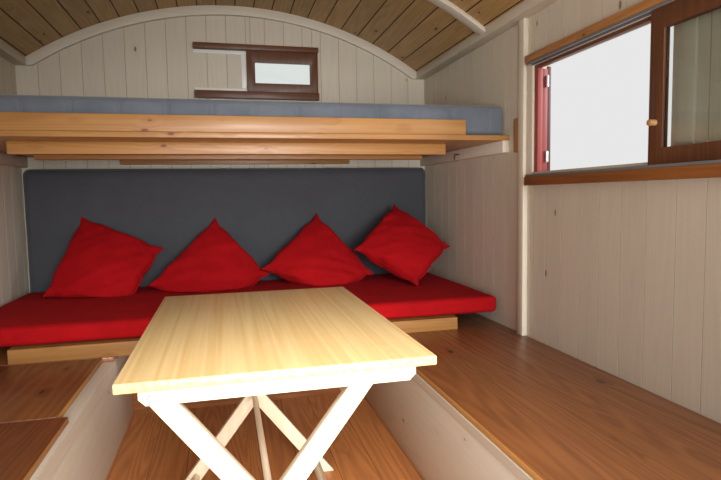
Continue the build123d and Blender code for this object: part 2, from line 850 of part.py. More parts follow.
def leg_point(hand, drop):
    """Point on a leg's centre line, this far down from its tip, as (x, z)."""
    return (table_pivot_x + hand * (tip_out - drop * sin(lean)), tip_z - drop * cos(lean))


leg_run = (tip_z - floor_z) / cos(lean)
foot_rail_drop = leg_run - leg_rail_in
with BuildPart() as table_outer_rail:
    rail_x0, rail_z0 = leg_point(-1, foot_rail_drop)
    with Locations(Location((rail_x0, frame_y, rail_z0), (0, tip_angle(-1), 0))):
        Box(leg_rail_t, 2 * bar_half, leg_rail_w)
keep(table_outer_rail, "table_outer_rail")

inner_half = inner_out - leg_t
with BuildPart() as table_inner_rails:
    for drop in (leg_rail_in, foot_rail_drop):
        rail_x0, rail_z0 = leg_point(1, drop)
        with Locations(Location((rail_x0, frame_y, rail_z0), (0, tip_angle(1), 0))):
            Box(leg_rail_t, 2 * inner_half, leg_rail_w)
keep(table_inner_rails, "table_inner_rails")

# Bolts through plate, batten and leg, with their heads outside
with BuildPart() as table_bolts:
    for side in (-1, 1):
        start = frame_y + side * (outer_out - leg_t)
        stop = frame_y + side * (batten_out + bolt_plate_t)
        with Locations((bolt_x, (start + stop) / 2, tip_z)):
            Cylinder(bolt_r, abs(stop - start), rotation=(90, 0, 0))
        with Locations((bolt_x, stop + side * bolt_head_t / 2, tip_z)):
            Cylinder(bolt_head_r, bolt_head_t, rotation=(90, 0, 0))
keep(table_bolts, "table_bolts")

with BuildPart() as table_bolt_plates:
    for side in (-1, 1):
        with Locations((bolt_x, frame_y + side * (batten_out + bolt_plate_t / 2), tip_z)):
            Box(bolt_plate_w, bolt_plate_t, bolt_plate_h)
            Cylinder(bolt_r + pin_clear, table_t, rotation=(90, 0, 0), mode=Mode.SUBTRACT)
keep(table_bolt_plates, "table_bolt_plates")
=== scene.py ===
"""Dressed look of a shepherds hut's sleeping bay, built round its fixed frame.

X runs across the hut, Y from the open end to the end wall, Z up. Metres.
"""

import json
import logging
import math
from dataclasses import dataclass, replace
from enum import Enum
from functools import cache, partial
from typing import Callable, Iterable, Sequence

import bmesh
import bpy
from bmesh.types import BMEdge, BMesh, BMVert
from bpy.types import Material, Mesh, Node, NodeSocket, NodeTree, Object
from mathutils import Matrix, Vector, noise

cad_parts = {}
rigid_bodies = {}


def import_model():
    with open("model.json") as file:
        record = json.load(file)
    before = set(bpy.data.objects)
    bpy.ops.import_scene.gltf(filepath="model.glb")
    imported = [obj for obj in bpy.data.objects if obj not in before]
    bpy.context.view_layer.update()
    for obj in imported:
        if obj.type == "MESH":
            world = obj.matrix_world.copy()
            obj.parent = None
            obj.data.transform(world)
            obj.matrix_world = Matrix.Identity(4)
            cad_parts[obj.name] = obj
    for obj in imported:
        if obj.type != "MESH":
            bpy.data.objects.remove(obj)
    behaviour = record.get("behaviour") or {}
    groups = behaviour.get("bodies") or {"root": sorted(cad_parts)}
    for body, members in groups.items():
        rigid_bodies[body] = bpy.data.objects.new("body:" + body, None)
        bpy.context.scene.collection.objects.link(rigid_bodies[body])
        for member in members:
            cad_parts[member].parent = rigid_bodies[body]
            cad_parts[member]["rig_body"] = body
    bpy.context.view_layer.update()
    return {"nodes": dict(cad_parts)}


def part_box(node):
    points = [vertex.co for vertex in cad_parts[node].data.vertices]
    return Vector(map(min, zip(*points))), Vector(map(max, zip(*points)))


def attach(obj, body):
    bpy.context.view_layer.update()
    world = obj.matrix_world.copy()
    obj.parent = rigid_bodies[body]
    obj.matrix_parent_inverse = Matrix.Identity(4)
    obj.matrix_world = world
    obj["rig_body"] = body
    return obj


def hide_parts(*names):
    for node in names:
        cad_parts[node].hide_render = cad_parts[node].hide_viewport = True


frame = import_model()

log = logging.getLogger("hut")

MM = 0.001
PHOTO_WIDTH = 721
BOARD_LAYER = "board"
# Corners this near are one, and faces that turn no more than this are one
WELD_GAP = 0.02 * MM
FLAT_ANGLE = math.radians(0.5)
# Sharper edges are eased, and sharper ones than the second break the shading
EDGE_ANGLE = math.radians(30)
SHADE_ANGLE = math.radians(40)
ALL_SMOOTH = math.pi
# A cut this near to a joint, as a share of a board, replaces it
NEAR_JOINT = 0.12
# How much of an edge or a normal has to lie along an axis
RUNS_ALONG = 0.99
SQUARE_ON = 0.9
FACES_AISLE = 0.5
FACES_DOWN = -0.8


def linear(colour: str) -> tuple[float, ...]:
    """Turn an sRGB hex colour into linear values.

    Args:
        colour: Six hex digits.

    Returns:
        Red, green, blue and alpha.
    """
    parts = [int(colour[i : i + 2], 16) / 255 for i in (0, 2, 4)]
    flat = [c / 12.92 if c <= 0.04045 else ((c + 0.055) / 1.055) ** 2.4 for c in parts]
    return (*flat, 1.0)


def set_inputs(node: Node, inputs: dict) -> None:
    """Set a shader node's sockets.

    Args:
        node: The node.
        inputs: Socket name or number to a value or to another node's output.
    """
    for socket, value in inputs.items():
        if isinstance(value, NodeSocket):
            node.id_data.links.new(value, node.inputs[socket])
        else:
            node.inputs[socket].default_value = value


def add_node(
    tree: NodeTree, kind: str, inputs: dict | None = None, out: int | str = 0, **settings
) -> NodeSocket:
    """Add a shader node with its settings, values and links.

    Args:
        tree: The tree that gets the node.
        kind: The node's type, without the ShaderNode that each type starts with.
        inputs: Socket name or number to a value or to another node's output.
        out: The output that is wanted.
        **settings: The node's own properties.

    Returns:
        That output.
    """
    node = tree.nodes.new("ShaderNode" + kind)
    for name, value in settings.items():
        setattr(node, name, value)
    set_inputs(node, inputs or {})
    return node.outputs[out]


def start_material(name: str) -> tuple[Material, Callable[..., NodeSocket], Node]:
    """Make an empty node material.

    Args:
        name: The material's name.

    Returns:
        The material, the function that adds nodes to it, and its main shader.
    """
    material = bpy.data.materials.new(name)
    material.use_nodes = True
    tree = material.node_tree
    return material, partial(add_node, tree), tree.nodes["Principled BSDF"]


class Grain(Enum):
    """Which way a board's grain runs."""

    X = 0
    Y = 1
    Z = 2

    def stretch(self, along: float) -> tuple[float, ...]:
        """Give the scale that draws a pattern out along the grain."""
        return tuple(along if axis == self.value else 1.0 for axis in range(3))


@dataclass(frozen=True)
class Wood:
    """Sawn and planed softwood: streaks along the grain, rings across it, and knots."""

    name: str
    light: str
    dark: str
    knot: str
    streak_mm: float = 3.0
    ring_mm: float = 6.0
    figure_mm: float = 90.0
    knot_gap_mm: float = 120.0
    knot_size: float = 0.05
    rough: float = 0.45
    coat: float = 0.0
    contrast: float = 0.7
    board_tint: float = 0.16
    bump_mm: float = 0.25
    along: float = 0.06

    def build(self, grain: Grain) -> Material:
        """Make the finish for boards with this grain direction.

        Args:
            grain: The axis that the grain follows.

        Returns:
            The material.
        """
        material, node, shader = start_material(self.name + "_" + grain.name.lower())
        place = node("TexCoord", out="Object")
        board = node("Attribute", out="Fac", attribute_name=BOARD_LAYER)
        # Each board is cut from another place in the log
        shift = node("VectorMath", {0: board, 1: (7.3, 5.1, 9.7)}, operation="MULTIPLY")
        cut = node("VectorMath", {0: place, 1: shift}, operation="ADD")
        slow = node("VectorMath", {0: cut, 1: grain.stretch(self.along)}, operation="MULTIPLY")
        fine, coarse = 0.25 / (self.streak_mm * MM), 1.0 / (self.figure_mm * MM)
        streak = node("TexNoise", {"Vector": slow, "Scale": fine, "Detail": 5.0, "Roughness": 0.62})
        figure = node("TexNoise", {"Vector": slow, "Scale": coarse, "Detail": 1.5, "Roughness": 0.4})
        # Knots lie in rows, further apart along the grain than across it
        rows = node("VectorMath", {0: cut, 1: grain.stretch(0.45)}, operation="MULTIPLY")
        knots = node("TexVoronoi", {"Vector": rows, "Scale": 1.0 / (self.knot_gap_mm * MM)})
        soft = {"interpolation_type": "SMOOTHSTEP"}
        rim = self.knot_size
        core = node("MapRange", {"Value": knots, "From Min": rim, "From Max": rim * 0.55}, **soft)
        halo = node("MapRange", {"Value": knots, "From Min": rim * 3.2, "From Max": rim}, **soft)
        # Rings show as contour lines of a slow wander, and bend round each knot
        bend = node("Math", {0: halo, 1: 4.0}, operation="MULTIPLY")
        turns = 2 * math.pi * self.figure_mm / self.ring_mm
        phase = node("Math", {0: figure, 1: turns, 2: bend}, operation="MULTIPLY_ADD")
        ring = node("Math", {0: phase}, operation="SINE")
        depth, middle = 0.24 * self.contrast, 0.5 - 0.6 * self.contrast
        ringed = node("Math", {0: ring, 1: depth, 2: middle}, operation="MULTIPLY_ADD")
        fibre = node("Math", {0: streak, 1: 1.2 * self.contrast, 2: ringed}, operation="MULTIPLY_ADD")
        tone = node("Clamp", {"Value": fibre})
        light, dark, knot = linear(self.light), linear(self.dark), linear(self.knot)
        base = node("Mix", {0: tone, 6: light, 7: dark}, 2, data_type="RGBA")
        warm = node("Math", {0: halo, 1: 0.35}, operation="MULTIPLY")
        haloed = node("Mix", {0: warm, 6: base, 7: dark}, 2, data_type="RGBA")
        knotted = node("Mix", {0: core, 6: haloed, 7: knot}, 2, data_type="RGBA")
        tint = self.board_tint / 2
        level = node("MapRange", {"Value": board, "To Min": 1.0 + tint, "To Max": 1.0 - tint})
        colour = node("HueSaturation", {"Color": knotted, "Value": level})
        rough = node("MapRange", {"Value": fibre, "To Min": self.rough - 0.06, "To Max": self.rough + 0.1})
        relief = node("Bump", {"Height": fibre, "Strength": 0.6, "Distance": self.bump_mm * MM})
        set_inputs(shader, {"Base Color": colour, "Roughness": rough, "Normal": relief, "IOR": 1.5})
        set_inputs(shader, {"Coat Weight": self.coat, "Coat Roughness": 0.25})
        return material


@dataclass(frozen=True)
class Cloth:
    """Woven cover fabric: crossed threads, soft sheen and slow changes of shade."""

    name: str
    light: str
    dark: str
    thread_mm: float = 3.0
    sheen: float = 0.25
    sheen_tint: str = "ffffff"
    specular: float = 0.2
    mottle: float = 1.0

    def build(self, layout: str = "Object") -> Material:
        """Make the fabric.

        Args:
            layout: The coordinates that its weave follows, Object or UV.

        Returns:
            The material.
        """
        material, node, shader = start_material(self.name)
        source = node("TexCoord", out=layout)
        # Drawn coarser than real threads of about 0.5 mm, which would not show
        scale = 6.2832 / 20 / (self.thread_mm * MM)
        bands = {"Vector": source, "Scale": scale, "Distortion": 0.6, "Detail": 1.0, "Detail Scale": 0.6}
        across, up, through = (node("TexWave", bands, "Fac", bands_direction=axis) for axis in "XYZ")
        crossed = node("Math", {0: across, 1: up}, operation="ADD")
        weave = node("Math", {0: crossed, 1: through}, operation="ADD")
        place = node("TexCoord", out="Object")
        slow = node("TexNoise", {"Vector": place, "Scale": 7.0, "Detail": 4.0, "Roughness": 0.55})
        shade = node("Math", {0: weave, 1: 0.16, 2: slow}, operation="MULTIPLY_ADD")
        half = 0.3 * self.mottle
        tone = node("MapRange", {"Value": shade, "From Min": 0.75 - half, "From Max": 0.75 + half})
        colour = node("Mix", {0: tone, 6: linear(self.dark), 7: linear(self.light)}, 2, data_type="RGBA")
        relief = node("Bump", {"Height": weave, "Strength": 0.35, "Distance": 0.4 * MM})
        fluff = {"Sheen Weight": self.sheen, "Sheen Roughness": 0.5, "Sheen Tint": linear(self.sheen_tint)}
        matt = {"Roughness": 0.9, "Specular IOR Level": self.specular}
        set_inputs(shader, {"Base Color": colour, "Normal": relief, **fluff, **matt})
        return material


@dataclass(frozen=True)
class Coating:
    """A painted, plated or moulded skin with faint mottling and worn patches."""

    name: str
    light: str
    dark: str
    rough: float = 0.45
    metallic: float = 0.0
    mottle_mm: float = 30.0

    def build(self) -> Material:
        """Make the coating.

        Returns:
            The material.
        """
        material, node, shader = start_material(self.name)
        place = node("TexCoord", out="Object")
        scale = 1.0 / (self.mottle_mm * MM)
        patches = node("TexNoise", {"Vector": place, "Scale": scale, "Detail": 6.0, "Roughness": 0.6})
        colour = node("Mix", {0: patches, 6: linear(self.light), 7: linear(self.dark)}, 2, data_type="RGBA")
        rough = node("MapRange", {"Value": patches, "To Min": self.rough - 0.1, "To Max": self.rough + 0.1})
        relief = node("Bump", {"Height": patches, "Strength": 0.3, "Distance": 0.2 * MM})
        skin = {"Base Color": colour, "Roughness": rough, "Normal": relief, "Metallic": self.metallic}
        set_inputs(shader, skin)
        return material


@dataclass(frozen=True)
class Pane:
    """Clear float glass that lets light through without bending it out of true."""

    name: str
    tint: str = "f4fbf8"

    def build(self) -> Material:
        """Make the glass.

        Returns:
            The material.
        """
        material, node, shader = start_material(self.name)
        film = node("TexNoise", {"Vector": node("TexCoord", out="Object"), "Scale": 12.0, "Detail": 3.0})
        smear = node("MapRange", {"Value": film, "To Min": 0.0, "To Max": 0.04})
        glass = {"Base Color": linear(self.tint), "Transmission Weight": 1.0, "IOR": 1.45, "Roughness": smear}
        set_inputs(shader, glass)
        return material


# White-glazed spruce boards: the pale glaze mutes the grain and leaves small brown knots
WALL_SPRUCE = Wood(
    "glazed_spruce", "d9cfbe", "c8bba5", "86705a", knot_size=0.06, contrast=0.35, rough=0.5, board_tint=0.05
)
# Planed spruce overhead under a clear glaze: yellower, and each board a little different
CEILING_SPRUCE = Wood(
    "ceiling_spruce", "c79f66", "a17b4b", "46300f",
    knot_gap_mm=95.0, knot_size=0.09, contrast=0.6, rough=0.5, board_tint=0.2,
)
# White-glazed spruce trim, planed smoother than the boards: paler, with hardly a knot
TRIM_SPRUCE = Wood(
    "trim_spruce", "dfd6c5", "cfc2ad", "9a7b58",
    ring_mm=7.0, knot_gap_mm=420.0, knot_size=0.045, contrast=0.35, rough=0.5, board_tint=0.05,
)
# Clear oiled pine of the bunk: orange, strong rings, many small knots and a slight shine
BUNK_PINE = Wood(
    "bunk_pine", "b8884f", "9c6731", "75381a",
    ring_mm=5.0, knot_gap_mm=62.0, knot_size=0.13, rough=0.42, coat=0.15, along=0.03,
)
# The same pine with painted shade: drawn darker for the bunk's shadow over the seat's front and slats
SHADED_SEAT_PINE = Wood("shaded_seat_pine", "a5753f", "835829", "5e3016", knot_gap_mm=90.0, knot_size=0.09, along=0.03)
# Lacquered pine of the table top: pale honey, long fine grain and a clear shine
TABLE_PINE = Wood(
    "table_pine", "efd097", "d6ad6c", "8f5f30", streak_mm=2.2, ring_mm=7.0, figure_mm=60.0,
    knot_gap_mm=110.0, rough=0.38, coat=0.3, contrast=0.8, along=0.018,
)
# Planed and lacquered battens and legs of the same table: almost white wood
TABLE_LEG = Wood("table_leg", "f2e4cb", "dfc8a3", "9b7142", rough=0.42, coat=0.15, contrast=0.6, along=0.03)
# Oiled larch of the bench tops: warm brown with broad flames in the grain
LARCH = Wood(
    "larch", "935a30", "683d20", "391c0d",
    ring_mm=7.0, figure_mm=120.0, knot_size=0.09, rough=0.42, coat=0.15, contrast=0.8,
)
# The same boards drawn brighter on the side towards the aisle: a painted highlight where light catches that
# edge
LIT_EDGE_LARCH = Wood(
    "lit_edge_larch", "c8924f", "a06c35", "5a3216", knot_gap_mm=300.0, knot_size=0.085, contrast=0.5
)
# Oiled larch sill rail: straight red-brown grain, almost no knots
RAIL_LARCH = Wood(
    "rail_larch", "a0632c", "7a4622", "3a1b0c", ring_mm=5.0, knot_gap_mm=400.0, knot_size=0.04, along=0.03
)
# The head rail, the same larch drawn lighter: painted light where the sun falls on it
SUNLIT_HEAD_LARCH = Wood(
    "sunlit_head_larch", "c58d52", "a06a36", "4a260f", ring_mm=5.0, knot_gap_mm=110.0, knot_size=0.07, along=0.03
)
# Stained larch of the sashes: dark chocolate brown, the grain just showing
SASH_LARCH = Wood(
    "sash_larch", "74452a", "50301c", "2f170a", ring_mm=5.0, knot_gap_mm=500.0, knot_size=0.04, rough=0.4
)
# Oiled pine floor boards, worn: honey brown, each board a different shade
FLOOR_BOARD = Wood(
    "floor_board", "c98449", "985c32", "2f190c", ring_mm=7.0, figure_mm=110.0,
    knot_gap_mm=160.0, knot_size=0.07, rough=0.5, board_tint=0.2, contrast=0.8,
)
# Rough-sawn bearers, left bare: greyed, dull and coarse
BEARER_WOOD = Wood(
    "bearer_wood", "8a7358", "66523a", "3a2a1c",
    ring_mm=16.0, knot_gap_mm=170.0, knot_size=0.085, rough=0.8, contrast=1.0, bump_mm=0.8,
)
# Barn-red paint on wood: flat red with the grain faint under it
RED_BOARD = Wood(
    "red_board", "9a413b", "84332f", "5f1d1a",
    ring_mm=12.0, knot_gap_mm=400.0, knot_size=0.085, rough=0.5, contrast=0.5,
)
# The shutter outside, the same paint drawn dark: painted shade, as it stands in shadow
SHADED_SHUTTER_BOARD = replace(RED_BOARD, name="shaded_shutter_board", light="5c2022", dark="481719", knot="2c0d0e")

# Woven mattress ticking: matt blue-grey with slow lighter patches
MATTRESS_CLOTH = Cloth("mattress_cloth", "70767e", "555b64", thread_mm=4.0, mottle=1.4)
# Woven upholstery cloth of the backrest: charcoal, matt, and its piping a shade lighter
GREY_CLOTH = Cloth("grey_cloth", "48494d", "3c3d41", sheen=0.1, mottle=2.2)
GREY_PIPING = Cloth("grey_piping", "4f5055", "3f4045", thread_mm=2.5)
# Dyed cotton of seat and cushions: deep red that hardly shines, with red-tinted fluff
RED_CLOTH = Cloth(
    "red_cloth", "ab0f15", "8a090e", thread_mm=2.5, sheen=0.04, sheen_tint="ff5050", specular=0.1, mottle=1.6
)
RED_PIPING = replace(RED_CLOTH, name="red_piping", light="b01117", dark="870a0f", thread_mm=2.0, mottle=1.0)

# Zinc-plated steel of hinges, bolts and plates: bright grey with a fine mottle
ZINC = Coating("zinc_plate", "c9cbcd", "a4a7aa", rough=0.35, metallic=1.0, mottle_mm=8.0)
# Blackened steel of hook and screws: near black, half matt
BLACK_STEEL = Coating("black_steel", "1b1b1c", "0d0d0e", rough=0.5, mottle_mm=6.0)
# Moulded track of the sashes: plain mid grey, and pale on the down-facing faces of its lips
GREY_TRACK = Coating("grey_track", "7d7f80", "66686a", rough=0.4, mottle_mm=40.0)
TRACK_LIP = Coating("track_lip", "dcdedf", "c9cbcc", rough=0.3, mottle_mm=40.0)
# White paint on the strips round the end window: the brightest lines on that wall
WHITE_STRIP = Coating("white_strip", "f4f2ea", "e6e3d8", rough=0.35, mottle_mm=60.0)
# Turned and oiled beech knob: smooth and pale against the dark sash
TURNED_KNOB = Coating("turned_knob", "c39a62", "a87f4a", rough=0.4, mottle_mm=12.0)
# Painted shade and dust in the joints between boards of wall, ceiling and floor
WALL_JOINT = Coating("wall_joint", "bdb09b", "a99a83", rough=0.9, mottle_mm=20.0)
DARK_JOINT = Coating("dark_joint", "4a3018", "33200f", rough=0.9, mottle_mm=20.0)
FLOOR_JOINT = Coating("floor_joint", "6b4424", "533319", rough=0.8, mottle_mm=20.0)
# Painted steel sheet of the roof: slate grey, weathered in broad patches
ROOF_PAINT = Coating("roof_paint", "5d6160", "4e5251", rough=0.5, mottle_mm=90.0)
# Float glass: almost clear, with a faint smear
WINDOW_GLASS = Pane("window_glass")


@cache
def made(finish: Wood | Cloth | Coating | Pane, *options: Grain | str) -> Material:
    """Make a finish with its options, or hand out the one made before."""
    return finish.build(*options)


def bevel_edges(bm: BMesh, edges: Sequence[BMEdge], ease: float, segments: int) -> list[BMVert]:
    """Take edges off by the ease, in some faces each, and return the new faces' vertices."""
    return bmesh.ops.bevel(
        bm, geom=edges, offset=ease, offset_type="OFFSET", segments=segments, profile=0.5,
        affect="EDGES", clamp_overlap=True, material=-1,
    )["verts"]


def add_board(
    bm: BMesh, low: Sequence[float], high: Sequence[float], ease: float, tone: float
) -> list[BMVert]:
    """Add a board with eased edges to a mesh.

    Args:
        bm: The mesh that gets the board.
        low: Its lowest corner.
        high: Its highest corner.
        ease: How far each edge is taken off.
        tone: A number from 0 to 1 that sets its shade and its place in the log.

    Returns:
        The board's vertices.
    """
    layer = bm.verts.layers.float.get(BOARD_LAYER) or bm.verts.layers.float.new(BOARD_LAYER)
    low, high = Vector(low), Vector(high)
    size = high - low
    matrix = Matrix.Translation((low + high) / 2) @ Matrix.Diagonal((*size, 1.0))
    corners = bmesh.ops.create_cube(bm, size=1.0, matrix=matrix)["verts"]
    edges = list({edge for vert in corners for edge in vert.link_edges})
    verts = bevel_edges(bm, edges, min(ease, min(size) * 0.3), 1)
    for vert in verts:
        vert[layer] = tone
    # The slanted faces form the joint and take the second material
    for face in {face for vert in verts for face in vert.link_faces}:
        face.normal_update()
        face.material_index = int(max(abs(part) for part in face.normal) < SQUARE_ON)
    return verts


def tone_of(index: int, seed: float) -> float:
    """Give a board's steady random number from 0 to 1."""
    return noise.cell(Vector((index * 1.37 + 0.5, seed + 0.5, 0.5))) % 1.0


def mesh_of(bm: BMesh, name: str = "mesh") -> Mesh:
    """Turn a finished bmesh into a mesh and free it.

    Args:
        bm: The bmesh.
        name: The mesh's name.

    Returns:
        The mesh.
    """
    mesh = bpy.data.meshes.new(name)
    bm.to_mesh(mesh)
    bm.free()
    return mesh


def link_new(name: str, data: bpy.types.ID) -> Object:
    """Make an object and link it.

    Args:
        name: Its name.
        data: Its mesh, lamp or camera.

    Returns:
        The object.
    """
    thing = bpy.data.objects.new(name, data)
    bpy.context.scene.collection.objects.link(thing)
    return thing


def add_piece(
    name: str,
    mesh: Mesh,
    materials: Sequence[Material],
    node: str = "",
    smooth: float = 0.0,
) -> Object:
    """Turn a finished mesh into a piece that rides on its body.

    Args:
        name: The piece's name.
        mesh: Its mesh.
        materials: Its materials, in the order of the faces' numbers.
        node: The solid that it stands for, which gives its body.
        smooth: The angle under which neighbouring faces are shaded as one.

    Returns:
        The new object.
    """
    mesh.name = name
    for material in materials:
        mesh.materials.append(material)
    if smooth:
        mesh.shade_smooth()
        mesh.set_sharp_from_angle(angle=smooth)
    piece = link_new(name, mesh)
    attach(piece, frame["nodes"][node]["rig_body"] if node else "hut")
    if node:
        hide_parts(node)
    log.info("%s: %d faces", name, len(mesh.polygons))
    return piece


def paint_nodes(material: Material, *nodes: str) -> None:
    """Give solids that keep their shape their finish.

    Args:
        material: The finish.
        *nodes: The solids.
    """
    for node in nodes:
        mesh = frame["nodes"][node].data
        mesh.materials.clear()
        mesh.materials.append(material)


def loose_parts(bm: BMesh) -> list[list[BMVert]]:
    """List the vertices of each separate part of a mesh.

    Args:
        bm: The mesh.

    Returns:
        One list of vertices for each part.
    """
    left = set(bm.verts)
    parts = []
    while left:
        part = [left.pop()]
        for vert in part:
            near = {edge.other_vert(vert) for edge in vert.link_edges} & left
            left -= near
            part.extend(near)
        parts.append(part)
    return parts


def ease_node(node: str, material: Material, ease: float) -> Object:
    """Stand a copy with eased edges in for a solid, each loose part of it in its own tone.

    Args:
        node: The solid.
        material: The copy's finish.
        ease: How far each sharp edge is taken off.

    Returns:
        The copy.
    """
    bm = bmesh.new()
    bm.from_mesh(frame["nodes"][node].data)
    bmesh.ops.remove_doubles(bm, verts=bm.verts[:], dist=WELD_GAP)
    bmesh.ops.dissolve_limit(bm, angle_limit=FLAT_ANGLE, verts=bm.verts[:], edges=bm.edges[:])
    sharp = [e for e in bm.edges if len(e.link_faces) == 2 and e.calc_face_angle() > EDGE_ANGLE]
    bevel_edges(bm, sharp, ease, 2)
    layer = bm.verts.layers.float.new(BOARD_LAYER)
    for number, part in enumerate(loose_parts(bm)):
        tone = tone_of(number, len(node))
        for vert in part:
            vert[layer] = tone
    return add_piece(node + "_eased", mesh_of(bm), [material], node, smooth=SHADE_ANGLE)


def ease_nodes(material: Material, ease: float, *nodes: str) -> None:
    """Stand copies with eased edges in for solids of one finish."""
    for node in nodes:
        ease_node(node, material, ease)


def tint_faces(piece: Object, material: Material, wanted: Callable[[Vector, Vector], bool]) -> None:
    """Give some of a piece's faces another finish.

    Args:
        piece: The piece.
        material: The finish.
        wanted: Says from a face's middle and normal whether it gets it.
    """
    piece.data.materials.append(material)
    last = len(piece.data.materials) - 1
    for face in piece.data.polygons:
        if wanted(face.center, face.normal):
            face.material_index = last


def spans(start: float, stop: float, step: float, cuts: Sequence[float] = ()) -> list[tuple[float, float]]:
    """Divide a run into boards, with extra joints at the cuts.

    Args:
        start: Where the run starts.
        stop: Where it stops.
        step: One board's width.
        cuts: Places that get a joint too.

    Returns:
        Each board's two edges.
    """
    count = max(1, round((stop - start) / step))
    marks = {round(start + (stop - start) * i / count, 5) for i in range(count + 1)}
    for cut in cuts:
        marks = {m for m in marks if abs(m - cut) > NEAR_JOINT * step or m in (start, stop)}
        marks.add(round(cut, 5))
    ordered = sorted(marks)
    return list(zip(ordered[:-1], ordered[1:]))


